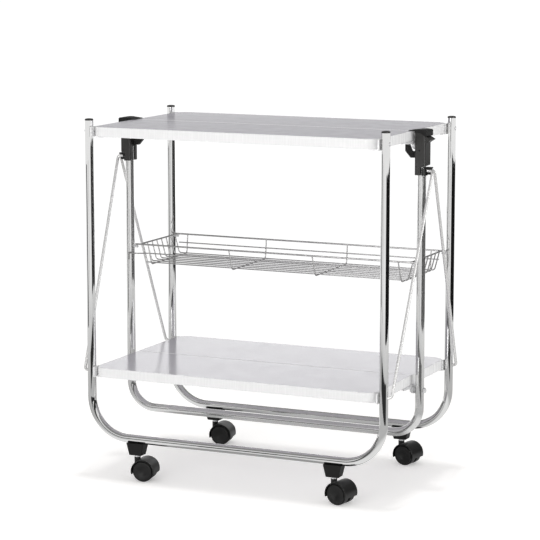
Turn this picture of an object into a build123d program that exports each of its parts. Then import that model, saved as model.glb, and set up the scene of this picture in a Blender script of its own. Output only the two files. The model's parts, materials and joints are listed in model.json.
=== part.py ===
from build123d import *
from math import cos, radians, sin
import os

# Kitchen trolley on four twin-wheel casters, with two folding shelves and a wire basket.
# X runs across the trolley, Y from front to back and Z up. The origin is on the floor, in the middle.
# All sizes are in millimetres. "facing" is -1 for the front half and +1 for the back half.

os.makedirs("parts", exist_ok=True)

# Frames
outer_post_pitch = 590.0
middle_post_pitch = 599.0
frame_depth = 330.0
tube_diameter = 16.0
tube_wall = 1.2
outer_bar_height = 77.0
middle_bar_height = 100.5
outer_bend_radius = 75.0
middle_bend_radius = 50.0
outer_post_rise = 10.5
middle_post_drop = 5.5
post_cap_height = 3.6
post_cap_plug_depth = 12.0
cap_edge_rounding = 1.2
rivet_dimple_depth = 1.8
rivet_dimple_radius = 4.0
rivet_dimple_rim = 0.8

# Shelves
top_shelf_surface = 660.5
lower_shelf_surface = 210.0
board_thickness = 18.0
edge_band_thickness = 1.0
shelf_overhang = 15.0
shelf_side_gap = 3.0
seam_gap = 1.6
shelf_corner_radius = 25.0
seam_corner_radius = 2.0

# Shelf hinges on the middle posts
hinge_drop = 8.5
hinge_pin_diameter = 6.0
hinge_pin_head_diameter = 10.0
hinge_pin_head_height = 2.2
outer_pin_head_height = 4.2
outer_pin_head_rounding = 2.5
leg_thickness = 2.2
leg_gap = 0.4
leg_eye_radius = 7.0
leg_web_rise = 2.5
flange_thickness = 2.0
hinge_flange_width = 18.0
hinge_flange_start = 6.0
hinge_flange_length = 39.0
spacer_thickness = 2.0
spacer_diameter = 12.0

# Shelf pivots on the outer posts
pivot_plate_thickness = 2.5
pivot_plate_length = 21.0
pivot_plate_overhang = 11.0
pivot_flange_width = 20.0
pivot_flange_inset = 6.25
rivet_diameter = 5.0
rivet_head_diameter = 7.4
rivet_head_height = 2.4
rivet_head_rounding = 1.7

# Shelf screws
screw_diameter = 3.0
screw_length = 12.0
screw_head_diameter = 6.0
screw_head_height = 1.5
screw_edge_distance = 7.0

# Catch housings on the middle posts
housing_inner_wall = 1.0
housing_width = 20.5
housing_depth = 30.0
housing_height = 76.5
housing_cover = 3.0
housing_corner_radius = 3.0
housing_skirt_width = 11.0
housing_slot_width = 9.0
notch_inner_rise = 13.5
notch_outer_rise = 17.5
wedge_reach = 10.0
wedge_top_drop = 6.0
wedge_tip_drop = 12.0
wedge_bottom_drop = 18.5
wedge_width = 24.0
cap_depth = 32.0
cap_beak_reach = 21.0
cap_beak_height = 0.9
cap_beak_clearance = 0.5
cap_peak_rise = 6.2
cap_peak_width = 6.5
cap_shoulder_drop = 0.9
cap_end_reach = 15.0
cap_end_drop = 6.0
cap_rounding = 1.5
cap_skirt_start = 2.0
cap_skirt_drop = 6.0

# Release levers
lever_pivot_drop = 32.0
lever_pin_diameter = 3.0
lever_pin_recess = 2.0
lever_boss_radius = 4.2
lever_neck_width = 6.6
lever_finger_width = 8.0
lever_reach = 31.3
lever_finger_thickness = 6.2
lever_finger_rise = 11.7
lever_tip_drop = 2.2
lever_crook_reach = 19.1
lever_arm_top_drop = 2.5
lever_arm_height = 11.9
lever_chamfer_length = 10.5
lever_chamfer_height = 12.1
lever_crook_rounding = 1.5
tube_slot_width = 7.2
tube_slot_rise = 4.0
tube_slot_margin = 3.0

# Sliders and stays
stay_diameter = 5.5
stay_bend_radius = 6.0
stay_offset = 4.2
stay_top_rise = 9.0
stay_top_reach = 22.5
stay_foot_reach = 15.0
stay_end_gap = 11.7
slider_height = 13.5
slider_drop = 1.0
slider_skirt_gap = 1.2
slider_wall = 2.9
slider_lug_reach = 19.0
slider_web_thickness = 2.0
slider_plate_thickness = 2.7
slider_plate_width = 15.2
slider_plate_gap = 0.45
slider_web_rise = 1.5

# Casters
caster_pitch = 400.0
wheel_diameter = 40.0
wheel_width = 17.0
wheel_edge_rounding = 2.0
caster_width = 41.0
caster_trail = 15.0
caster_yaw = 10.0
hood_wall = 1.6
hood_web = 5.0
hood_lip_height = 14.5
hood_boss_radius = 5.8
hood_boss_top = 44.3
hood_boss_bottom = 27.0
hood_rounding = 0.8
axle_diameter = 6.0
axle_length = 34.0
stem_diameter = 8.0
stem_bottom = 38.2
stem_top = 75.0
stem_collar_diameter = 10.4
stem_collar_height = 2.8
socket_top_width = 36.0
socket_top_depth = 23.0
socket_bottom_width = 25.0
socket_bottom_depth = 21.0
socket_bottom = 47.8
socket_top = 70.5
socket_rounding = 1.5
socket_spigot_radius = 5.5
socket_spigot_top = 80.0

# Wire basket between the middle and the back frame
rim_height = 419.0
rim_wire = 3.2
basket_wire = 2.4
basket_depth = 35.5
rim_end_gap = 20.0
rim_front_stub_gap = 3.0
rim_back_stub_gap = 0.5
rim_back_gap = 3.0
rim_corner_radius = 8.0
basket_end_lean = 9.5
basket_bend_radius = 6.0
long_wire_count = 8
long_wire_start = 12.0
long_wire_end_gap = 9.5
cross_wire_count = 4
cross_wire_pitch = 172.0
cross_wire_lean = 6.0
cross_wire_front = 2.0
cross_wire_back_lean = 4.0
side_wire_share = 0.46
weld_sink = 0.4
hook_end_gap = 1.5
hook_front = 11.5
hook_drop = 13.0
hook_bend_length = 20.0
stud_diameter = 5.0
stud_tenon_diameter = 2.5
stud_reach = 8.0
stud_back_offset = 2.0

# Fits
running_clearance = 0.06
press_clearance = 0.02
part_gap = 0.3

# Sizes that follow from those above
tube_radius = tube_diameter / 2
outer_x = outer_post_pitch / 2
middle_x = middle_post_pitch / 2
frame_y = frame_depth / 2
shelf_half_length = outer_x - tube_radius - shelf_side_gap
shelf_edge_y = frame_y + shelf_overhang
half_depth = shelf_edge_y - seam_gap / 2
outer_post_top = top_shelf_surface + outer_post_rise
middle_post_top = top_shelf_surface - middle_post_drop
hinge_pin_radius = hinge_pin_diameter / 2
stay_radius = stay_diameter / 2
rivet_seat_x = outer_x + tube_radius - rivet_dimple_depth
housing_inner_x = middle_x - tube_radius - housing_inner_wall
housing_outer_x = housing_inner_x + housing_width
housing_top = middle_post_top + housing_cover
housing_bottom = housing_top - housing_height
lever_pivot_height = housing_top - lever_pivot_drop
lever_arm_top = lever_pivot_height - lever_arm_top_drop
lever_arm_bottom = lever_arm_top - lever_arm_height
tube_slot_top = lever_pivot_height + tube_slot_rise
slider_bottom = housing_bottom - slider_drop
stay_top_height = slider_bottom + stay_top_rise
wheel_radius = wheel_diameter / 2
caster_x = caster_pitch / 2
hood_pocket_radius = wheel_radius + hood_wall / 2
hood_radius = hood_pocket_radius + hood_wall
rim_half_length = middle_x - rim_end_gap
rim_front_stub = middle_x - tube_radius - rim_front_stub_gap
rim_back_stub = outer_x - tube_radius - rim_back_stub_gap
hook_reach = middle_x - hook_end_gap
rim_back = frame_y - rim_back_gap
cross_wire_back = rim_back - cross_wire_back_lean
long_wire_span = cross_wire_back - long_wire_end_gap - long_wire_start
long_wire_pitch = long_wire_span / (long_wire_count - 1)
basket_floor_height = rim_height - basket_depth
basket_floor_half_length = rim_half_length - basket_end_lean
side_wire_height = rim_height - side_wire_share * basket_depth
side_wire_half_length = rim_half_length - side_wire_share * basket_end_lean
stud_height = rim_height - rim_wire / 2 - stud_diameter / 2 - part_gap / 2
surfaces = {"top": top_shelf_surface, "lower": lower_shelf_surface}
facings = {"front": -1, "back": 1}
sides = {"left": -1, "right": 1}


def save(piece, node):
    """Label a finished piece and write its file."""
    piece.part.label = node
    export_step(piece.part, f"parts/{node}.step")


def rod_x(radius, start, end, y, z, mode=Mode.ADD):
    """Add or cut a round bar that runs along X."""
    with Locations(((start + end) / 2, y, z)):
        Cylinder(radius, abs(end - start), rotation=(0, 90, 0), mode=mode)


def rod_y(radius, start, end, x, z, mode=Mode.ADD):
    """Add or cut a round bar that runs along Y."""
    with Locations((x, (start + end) / 2, z)):
        Cylinder(radius, abs(end - start), rotation=(90, 0, 0), mode=mode)


def block(x_range, y_range, z_range, mode=Mode.ADD):
    """Add or cut a box between pairs of limits."""
    low = (min(x_range), min(y_range), min(z_range))
    size = (abs(x_range[1] - x_range[0]), abs(y_range[1] - y_range[0]), abs(z_range[1] - z_range[0]))
    with Locations(low):
        Box(*size, align=(Align.MIN, Align.MIN, Align.MIN), mode=mode)


def hinge_height(surface):
    """Height of a shelf's middle hinge pins, below its boards."""
    return surface - board_thickness - hinge_drop


def pivot_height(surface):
    """Height of a shelf's outer pivots, at half the board's thickness."""
    return surface - board_thickness / 2


def leg_start(facing):
    """Inner face of a hinge leg: the back leg lies outside the front one."""
    first = shelf_half_length + leg_gap / 2
    return first if facing < 0 else first + leg_thickness + leg_gap


def screw_places(facing):
    """Screw positions on the right-hand side of one shelf half."""
    inner_x = shelf_half_length - hinge_flange_width / 2
    outer_x_place = shelf_half_length - pivot_flange_width / 2
    hinge_near = hinge_flange_start + screw_edge_distance
    hinge_far = hinge_flange_start + hinge_flange_length - screw_edge_distance
    plate_y = frame_y + pivot_plate_overhang - pivot_plate_length + screw_edge_distance
    places = [(inner_x, facing * hinge_near), (inner_x, facing * hinge_far)]
    places.append((outer_x_place - screw_diameter, facing * plate_y))
    places.append((outer_x_place + screw_diameter, facing * (plate_y - screw_diameter)))
    return places


def both_sides(places):
    """The same places on the right and on the left."""
    return [(side * x, y) for side in (-1, 1) for x, y in places]


# Bent tube frames
def outer_frame_tube(facing, node):
    """One outer frame: two posts and a bottom bar, bent from one tube."""
    y = facing * frame_y
    with BuildPart() as tube:
        with BuildLine(Plane.XZ.offset(-y)) as route:
            FilletPolyline(
                (-outer_x, outer_post_top),
                (-outer_x, outer_bar_height),
                (outer_x, outer_bar_height),
                (outer_x, outer_post_top),
                radius=outer_bend_radius,
            )
        with BuildSketch(Plane(origin=route.line @ 0, z_dir=route.line % 0)):
            Circle(tube_radius)
            Circle(tube_radius - tube_wall, mode=Mode.SUBTRACT)
        sweep()
        for side in (-1, 1):
            span = (side * (outer_x - tube_diameter), side * (outer_x + tube_diameter))
            rivet_z = pivot_height(top_shelf_surface)
            rivet_hole = rivet_diameter / 2 + running_clearance
            seat = side * rivet_seat_x
            seat_back = side * (rivet_seat_x - tube_wall)
            rod_x(rivet_dimple_radius + rivet_dimple_rim, seat_back, seat, y, rivet_z)
            rod_x(rivet_dimple_radius, seat, span[1], y, rivet_z, Mode.SUBTRACT)
            rod_x(rivet_hole, *span, y, rivet_z, Mode.SUBTRACT)
            stay_hole = stay_radius + running_clearance
            rod_x(stay_hole, *span, y, pivot_height(lower_shelf_surface), Mode.SUBTRACT)
            with Locations((side * caster_x, y, outer_bar_height)):
                Cylinder(
                    socket_spigot_radius + press_clearance,
                    tube_diameter,
                    align=(Align.CENTER, Align.CENTER, Align.MAX),
                    mode=Mode.SUBTRACT,
                )
    save(tube, node)


def post_caps(facing, node):
    """Black plastic caps pressed into the tops of two posts."""
    with BuildPart() as caps:
        with BuildSketch(Plane.XY.offset(outer_post_top)):
            with Locations((-outer_x, facing * frame_y), (outer_x, facing * frame_y)):
                Circle(tube_radius)
        extrude(amount=post_cap_height)
        fillet(caps.faces().sort_by(Axis.Z)[-2:].edges(), cap_edge_rounding)
        with BuildSketch(Plane.XY.offset(outer_post_top)):
            with Locations((-outer_x, facing * frame_y), (outer_x, facing * frame_y)):
                Circle(tube_radius - tube_wall - press_clearance)
        extrude(amount=-post_cap_plug_depth)
    save(caps, node)


def shelf_rivets(facing, node):
    """Rivets through the outer posts that carry the top shelf."""
    y = facing * frame_y
    z = pivot_height(top_shelf_surface)
    start = shelf_half_length + leg_gap
    with BuildPart() as rivets:
        rod_x(rivet_diameter / 2, start, rivet_seat_x + rivet_head_height / 2, y, z)
        with BuildSketch(Plane.YZ.offset(rivet_seat_x)):
            with Locations((y, z)):
                Circle(rivet_head_diameter / 2)
        extrude(amount=rivet_head_height)
        fillet(rivets.faces().sort_by(Axis.X)[-1].edges(), rivet_head_rounding)
        mirror(about=Plane.YZ)
    save(rivets, node)


def caster_sockets(facing, node):
    """Tapered plastic sockets under the bottom bar, one for each caster."""
    y = facing * frame_y
    with BuildPart() as sockets:
        with BuildSketch(Plane.XY.offset(socket_bottom)):
            with Locations((caster_x, y)):
                Rectangle(socket_bottom_width, socket_bottom_depth)
        with BuildSketch(Plane.XY.offset(socket_top)):
            with Locations((caster_x, y)):
                Rectangle(socket_top_width, socket_top_depth)
        loft()
        fillet(sockets.edges().filter_by(Axis.Z, reverse=True).group_by(Axis.Z)[1], socket_rounding)
        fillet(sockets.faces().sort_by(Axis.Z)[0].edges(), socket_rounding)
        bar_end = caster_x + socket_top_width
        saddle = tube_radius + press_clearance
        rod_x(saddle, caster_x - socket_top_width, bar_end, y, outer_bar_height, Mode.SUBTRACT)
        spigot_start = (socket_bottom + socket_top) / 2
        with Locations((caster_x, y, spigot_start)):
            Cylinder(
                socket_spigot_radius,
                socket_spigot_top - spigot_start,
                align=(Align.CENTER, Align.CENTER, Align.MIN),
            )
        with Locations((caster_x, y, socket_bottom)):
            Cylinder(
                stem_diameter / 2 + running_clearance,
                stem_top - socket_bottom + part_gap,
                align=(Align.CENTER, Align.CENTER, Align.MIN),
                mode=Mode.SUBTRACT,
            )
        mirror(about=Plane.YZ)
    save(sockets, node)


for name, facing in facings.items():
    outer_frame_tube(facing, f"{name}_frame_tube")
    post_caps(facing, f"{name}_post_caps")
    shelf_rivets(facing, f"{name}_shelf_rivets")
    caster_sockets(facing, f"{name}_caster_sockets")

# Middle frame, a little wider than the outer ones, with its bar higher up
with BuildPart() as middle_frame_tube:
    with BuildLine(Plane.XZ) as middle_route:
        FilletPolyline(
            (-middle_x, middle_post_top),
            (-middle_x, middle_bar_height),
            (middle_x, middle_bar_height),
            (middle_x, middle_post_top),
            radius=middle_bend_radius,
        )
    with BuildSketch(Plane(origin=middle_route.line @ 0, z_dir=middle_route.line % 0)):
        Circle(tube_radius)
        Circle(tube_radius - tube_wall, mode=Mode.SUBTRACT)
    sweep()
    for side in (-1, 1):
        inner = side * (middle_x - tube_diameter)
        outer = side * (middle_x + tube_diameter)
        for surface in surfaces.values():
            pin_hole = hinge_pin_radius + press_clearance
            rod_x(pin_hole, inner, outer, 0, hinge_height(surface), Mode.SUBTRACT)
        stud_hole = stud_tenon_diameter / 2 + press_clearance
        rod_x(stud_hole, inner, side * middle_x, 0, stud_height, Mode.SUBTRACT)
        lever_hole = lever_pin_diameter / 2 + press_clearance
        rod_y(lever_hole, -tube_diameter, tube_diameter, side * middle_x, lever_pivot_height, Mode.SUBTRACT)
        slot_z = (lever_arm_bottom - tube_slot_margin, tube_slot_top)
        slot_y = (-tube_slot_width / 2, tube_slot_width / 2)
        block((inner, side * (middle_x - tube_radius / 2)), slot_y, slot_z, Mode.SUBTRACT)
save(middle_frame_tube, "middle_frame_tube")


# Shelf halves
def shelf_board(surface, facing, node):
    """White board with pilot holes for the screws, inside its edge band."""
    underside = surface - board_thickness
    with BuildPart() as board:
        with BuildSketch(Plane.XY.offset(underside)) as outline:
            with Locations((0, facing * (seam_gap + half_depth) / 2)):
                Rectangle(2 * shelf_half_length, half_depth)
            corners = outline.vertices().group_by(Axis.Y)
            fillet(corners[0 if facing < 0 else -1], shelf_corner_radius)
            fillet(outline.vertices().group_by(Axis.Y)[-1 if facing < 0 else 0], seam_corner_radius)
            offset(amount=-edge_band_thickness, mode=Mode.REPLACE)
        extrude(amount=board_thickness)
        with Locations(*[(x, y, underside) for x, y in both_sides(screw_places(facing))]):
            Cylinder(
                screw_diameter / 2 + press_clearance,
                screw_length,
                align=(Align.CENTER, Align.CENTER, Align.MIN),
                mode=Mode.SUBTRACT,
            )
    save(board, node)


def edge_band(surface, facing, node):
    """Thin white band glued round the board's four edges."""
    with BuildPart() as band:
        with BuildSketch(Plane.XY.offset(surface - board_thickness)) as outline:
            with Locations((0, facing * (seam_gap + half_depth) / 2)):
                Rectangle(2 * shelf_half_length, half_depth)
            corners = outline.vertices().group_by(Axis.Y)
            fillet(corners[0 if facing < 0 else -1], shelf_corner_radius)
            fillet(outline.vertices().group_by(Axis.Y)[-1 if facing < 0 else 0], seam_corner_radius)
            offset(amount=-edge_band_thickness, mode=Mode.SUBTRACT)
        extrude(amount=board_thickness)
    save(band, node)


def hinge_brackets(surface, facing, node):
    """Angle brackets under the board whose eyes turn on the middle hinge pins."""
    underside = surface - board_thickness
    start = leg_start(facing)
    near = facing * hinge_flange_start
    far = facing * (hinge_flange_start + hinge_flange_length)
    with BuildPart() as brackets:
        with BuildSketch(Plane.YZ.offset(start)):
            with Locations((0, hinge_height(surface))):
                Circle(leg_eye_radius)
            web_bottom = hinge_height(surface) + leg_web_rise
            with Locations((far / 2, (web_bottom + underside) / 2)):
                Rectangle(abs(far), underside - web_bottom)
        extrude(amount=leg_thickness)
        flange_inner = shelf_half_length - hinge_flange_width
        block((flange_inner, start + leg_thickness), (near, far), (underside - flange_thickness, underside))
        eye = hinge_pin_radius + running_clearance
        rod_x(eye, start - leg_gap, start + 2 * leg_thickness, 0, hinge_height(surface), Mode.SUBTRACT)
        with Locations(*[(x, y, underside) for x, y in screw_places(facing)]):
            Cylinder(screw_diameter / 2 + press_clearance, 3 * flange_thickness, mode=Mode.SUBTRACT)
        mirror(about=Plane.YZ)
    save(brackets, node)


def pivot_plates(surface, facing, hole_radius, node):
    """Angle plates at the shelf's outer corners that turn on the outer posts."""
    underside = surface - board_thickness
    inner_face = shelf_half_length + leg_gap / 2
    outer_face = inner_face + pivot_plate_thickness
    far = facing * (frame_y + pivot_plate_overhang)
    near = facing * (frame_y + pivot_plate_overhang - pivot_plate_length)
    with BuildPart() as plates:
        block((inner_face, outer_face), (near, far), (underside - flange_thickness, surface - leg_gap))
        tab_edges = plates.edges().filter_by(Axis.X)
        fillet(tab_edges, flange_thickness)
        flange_inner = shelf_half_length - pivot_flange_width
        flange_end = far - facing * pivot_flange_inset
        block((flange_inner, outer_face), (near, flange_end), (underside - flange_thickness, underside))
        pivot = pivot_height(surface)
        hole = hole_radius + running_clearance
        rod_x(hole, inner_face - leg_gap, outer_face + leg_gap, facing * frame_y, pivot, Mode.SUBTRACT)
        with Locations(*[(x, y, underside) for x, y in screw_places(facing)]):
            Cylinder(screw_diameter / 2 + press_clearance, 3 * flange_thickness, mode=Mode.SUBTRACT)
        mirror(about=Plane.YZ)
    save(plates, node)


def shelf_screws(surface, facing, node):
    """Pan-head screws that hold the brackets and plates under the board."""
    flange_face = surface - board_thickness - flange_thickness
    with BuildPart() as screws:
        with BuildSketch(Plane.XY.offset(flange_face)):
            with Locations(*both_sides(screw_places(facing))):
                Circle(screw_head_diameter / 2)
        extrude(amount=-screw_head_height)
        with BuildSketch(Plane.XY.offset(flange_face)):
            with Locations(*both_sides(screw_places(facing))):
                Circle(screw_diameter / 2)
        extrude(amount=screw_length)
    save(screws, node)


for level, surface in surfaces.items():
    pivot_hole = rivet_diameter / 2 if level == "top" else stay_radius
    for name, facing in facings.items():
        shelf_board(surface, facing, f"{level}_{name}_board")
        edge_band(surface, facing, f"{level}_{name}_edge_band")
        hinge_brackets(surface, facing, f"{level}_{name}_hinge_brackets")
        pivot_plates(surface, facing, pivot_hole, f"{level}_{name}_pivot_plates")
        shelf_screws(surface, facing, f"{level}_{name}_screws")

# Hinge pins through the middle posts: the lower ones end in round heads outside the posts
with BuildPart() as middle_hinge_pins:
    head_face = leg_start(-1) - part_gap
    for surface in surfaces.values():
        pin_z = hinge_height(surface)
        rod_x(hinge_pin_radius, head_face, middle_x + tube_radius - tube_wall / 2, 0, pin_z)
        rod_x(hinge_pin_head_diameter / 2, head_face - hinge_pin_head_height, head_face, 0, pin_z)
    outer_head_start = middle_x + tube_radius
    lower_pin_z = hinge_height(lower_shelf_surface)
    outer_head_end = outer_head_start + outer_pin_head_height
    rod_x(hinge_pin_radius, head_face, outer_head_start, 0, lower_pin_z)
    rod_x(hinge_pin_head_diameter / 2, outer_head_start, outer_head_end, 0, lower_pin_z)
    fillet(middle_hinge_pins.faces().sort_by(Axis.X)[-1].edges(), outer_pin_head_rounding)
    mirror(about=Plane.YZ)
save(middle_hinge_pins, "middle_hinge_pins")

with BuildPart() as hinge_spacers:
    spacer_start = leg_start(1) + leg_thickness + part_gap
    rod_x(spacer_diameter / 2, spacer_start, spacer_start + spacer_thickness, 0, lower_pin_z)
    spacer_bore = hinge_pin_radius + running_clearance
    rod_x(spacer_bore, spacer_start, spacer_start + spacer_thickness, 0, lower_pin_z, Mode.SUBTRACT)
    mirror(about=Plane.YZ)
save(hinge_spacers, "hinge_spacers")


# Catch housings, drawn for the right-hand side and mirrored for the left
def catch_housing(side, node):
    """Black sleeve on top of a middle post, with a skirt, a lever slot and a wedge outside."""
    centre_x = (housing_inner_x + housing_outer_x) / 2
    skirt_end = side * (housing_inner_x + housing_skirt_width)
    past_outside = side * (housing_outer_x + part_gap)
    below = housing_bottom - part_gap
    with BuildPart() as housing:
        with BuildSketch(Plane.XY.offset(housing_bottom)):
            with Locations((side * centre_x, 0)):
                RectangleRounded(housing_width, housing_depth, housing_corner_radius)
        extrude(amount=housing_height)
        with BuildSketch(Plane.XZ):
            with BuildLine():
                Polyline(
                    (side * centre_x, housing_top - wedge_top_drop),
                    (side * housing_outer_x, housing_top - wedge_top_drop),
                    (side * (housing_outer_x + wedge_reach), housing_top - wedge_tip_drop),
                    (side * housing_outer_x, housing_top - wedge_bottom_drop),
                    (side * centre_x, housing_top - wedge_bottom_drop),
                    close=True,
                )
            make_face()
        extrude(amount=wedge_width / 2, both=True)
        with BuildSketch(Plane.XZ):
            with BuildLine():
                Polyline(
                    (skirt_end, below),
                    (skirt_end, housing_bottom + notch_inner_rise),
                    (past_outside, housing_bottom + notch_outer_rise),
                    (past_outside, below),
                    close=True,
                )
            make_face()
        extrude(amount=housing_depth, both=True, mode=Mode.SUBTRACT)
        with BuildSketch(Plane.XY.offset(housing_bottom)):
            with Locations((side * middle_x, 0)):
                Circle(tube_radius + press_clearance)
        extrude(amount=middle_post_top - housing_bottom, mode=Mode.SUBTRACT)
        slot_x = (side * (housing_inner_x - part_gap), side * (middle_x - tube_radius / 2))
        slot_y = (-housing_slot_width / 2, housing_slot_width / 2)
        block(slot_x, slot_y, (below, tube_slot_top), Mode.SUBTRACT)
        pin_z = hinge_height(top_shelf_surface)
        pin_hole = hinge_pin_radius + running_clearance
        rod_x(pin_hole, side * (housing_inner_x - part_gap), side * middle_x, 0, pin_z, Mode.SUBTRACT)
        lever_hole = lever_pin_diameter / 2 + press_clearance
        half = housing_depth / 2
        rod_y(lever_hole, -half, half, side * middle_x, lever_pivot_height, Mode.SUBTRACT)
    save(housing, node)


for name, side in sides.items():
    catch_housing(side, f"catch_housing_{name}")

with BuildPart() as catch_housing_caps:
    beak_bottom = top_shelf_surface + cap_beak_clearance
    cap_over_sleeve = housing_outer_x + part_gap
    cap_end = middle_x + cap_end_reach
    cap_peak = housing_top + cap_peak_rise
    cap_bottom = housing_top - cap_end_drop
    with BuildSketch(Plane.XZ):
        with BuildLine():
            Polyline(
                (middle_x - cap_beak_reach, beak_bottom),
                (middle_x - cap_beak_reach, beak_bottom + cap_beak_height),
                (middle_x, cap_peak),
                (middle_x + cap_peak_width, cap_peak),
                (cap_end - cap_rounding, cap_peak - cap_shoulder_drop),
                (cap_end, cap_peak - cap_shoulder_drop - cap_rounding),
                (cap_end, cap_bottom + cap_rounding),
                (cap_end - cap_rounding / 2, cap_bottom),
                (cap_over_sleeve, cap_bottom),
                (cap_over_sleeve, housing_top),
                (housing_inner_x, housing_top),
                (housing_inner_x, beak_bottom),
                close=True,
            )
        make_face()
    extrude(amount=cap_depth / 2, both=True)
    cheek_inner = housing_depth / 2 + press_clearance
    cheek_thickness = cap_depth / 2 - cheek_inner
    for facing in (-1, 1):
        with BuildSketch(Plane.XZ.offset(-facing * cheek_inner)):
            with BuildLine():
                Polyline(
                    (middle_x + cap_skirt_start, housing_top),
                    (cap_over_sleeve, housing_top - cap_skirt_drop),
                    (cap_end - cap_rounding / 2, housing_top - cap_skirt_drop),
                    (cap_end - cap_rounding / 2, housing_top),
                    close=True,
                )
            make_face()
        extrude(amount=-facing * cheek_thickness)
    mirror(about=Plane.YZ)
save(catch_housing_caps, "catch_housing_caps")

with BuildPart() as lever_pins:
    pin_end = housing_depth / 2 - lever_pin_recess
    rod_y(lever_pin_diameter / 2, -pin_end, pin_end, middle_x, lever_pivot_height)
    mirror(about=Plane.YZ)
save(lever_pins, "lever_pins")


def release_lever(side, node):
    """Hook-shaped lever: its finger stands below the shelf seam and pulls down to open the catch."""
    finger_inner = middle_x - lever_reach
    finger_outer = finger_inner + lever_finger_thickness
    finger_top = lever_pivot_height + lever_finger_rise
    crook_x = middle_x - lever_crook_reach
    with BuildPart() as lever:
        with BuildSketch(Plane.XZ):
            with BuildLine():
                Polyline(
                    (side * finger_inner, finger_top - lever_tip_drop),
                    (side * finger_outer, finger_top),
                    (side * crook_x, lever_arm_top),
                    (side * housing_inner_x, lever_arm_top),
                    (side * housing_inner_x, lever_arm_bottom),
                    (side * (finger_inner + lever_chamfer_length), lever_arm_bottom),
                    (side * finger_inner, lever_arm_bottom + lever_chamfer_height),
                    close=True,
                )
            make_face()
        extrude(amount=lever_finger_width / 2, both=True)
        crook = lever.edges().filter_by(Axis.Y).filter_by_position(
            Axis.X, side * crook_x - part_gap, side * crook_x + part_gap
        )
        fillet(crook, lever_crook_rounding)
        neck_start = side * (housing_inner_x - lever_neck_width)
        for cheek in (-1, 1):
            cheek_range = (cheek * lever_neck_width / 2, cheek * lever_finger_width)
            cheek_z = (lever_arm_bottom - part_gap, lever_arm_top + part_gap)
            block((neck_start, side * middle_x), cheek_range, cheek_z, Mode.SUBTRACT)
        with BuildSketch(Plane.XZ):
            with Locations((side * middle_x, lever_pivot_height)):
                Circle(lever_boss_radius)
            with Locations((side * (housing_inner_x - leg_gap), (lever_arm_top + lever_arm_bottom) / 2)):
                Rectangle(leg_gap, lever_arm_top - lever_arm_bottom)
            make_hull()
        extrude(amount=lever_neck_width / 2, both=True)
        eye = lever_pin_diameter / 2 + running_clearance
        half_eye = lever_finger_width
        rod_y(eye, -half_eye, half_eye, side * middle_x, lever_pivot_height, Mode.SUBTRACT)
    save(lever, node)


for name, side in sides.items():
    release_lever(side, f"release_lever_{name}")


# Sliders on the middle posts and the bent-rod stays that they carry
def slider(side, node):
    """Split ring round a middle post, with a web and a roof that take the stays' ends."""
    ring_outer = tube_radius + slider_wall
    lug_end = side * (middle_x + slider_lug_reach)
    plate_bottom = stay_top_height + stay_radius + slider_plate_gap
    with BuildPart() as ring:
        with BuildSketch(Plane.XY.offset(slider_bottom)):
            with Locations((side * middle_x, 0)):
                Circle(ring_outer)
        extrude(amount=slider_height)
        web_start = side * (middle_x + tube_radius)
        half_web = slider_web_thickness / 2
        plate_top = plate_bottom + slider_plate_thickness
        block((web_start, lug_end), (-half_web, half_web), (slider_bottom + slider_web_rise, plate_top))
        half_plate = slider_plate_width / 2
        block((web_start, lug_end), (-half_plate, half_plate), (plate_bottom, plate_top))
        with Locations((side * middle_x, 0, slider_bottom)):
            Cylinder(tube_radius + running_clearance, 4 * slider_height, mode=Mode.SUBTRACT)
        open_start = side * (housing_inner_x + housing_skirt_width + slider_skirt_gap)
        open_end = side * (middle_x - 2 * tube_radius)
        open_z = (slider_bottom - part_gap, slider_bottom + slider_height + part_gap)
        block((open_end, open_start), (-tube_diameter, tube_diameter), open_z, Mode.SUBTRACT)
    save(ring, node)


def stay(side, facing, node):
    """Steel rod from an outer post up to the slider, both ends bent inwards."""
    foot_y = facing * frame_y
    head_y = facing * stay_offset
    foot_z = pivot_height(lower_shelf_surface)
    foot_inner = shelf_half_length - part_gap
    with BuildPart() as rod:
        with BuildLine() as route:
            FilletPolyline(
                (side * foot_inner, foot_y, foot_z),
                (side * (outer_x + stay_foot_reach), foot_y, foot_z),
                (side * (middle_x + stay_top_reach), head_y, stay_top_height),
                (side * (middle_x + stay_end_gap), head_y, stay_top_height),
                radius=stay_bend_radius,
            )
        with BuildSketch(Plane(origin=route.line @ 0, z_dir=route.line % 0)):
            Circle(stay_radius)
        sweep()
    save(rod, node)


for name, side in sides.items():
    slider(side, f"slider_{name}")
    for end, facing in facings.items():
        stay(side, facing, f"stay_{end}_{name}")


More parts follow.
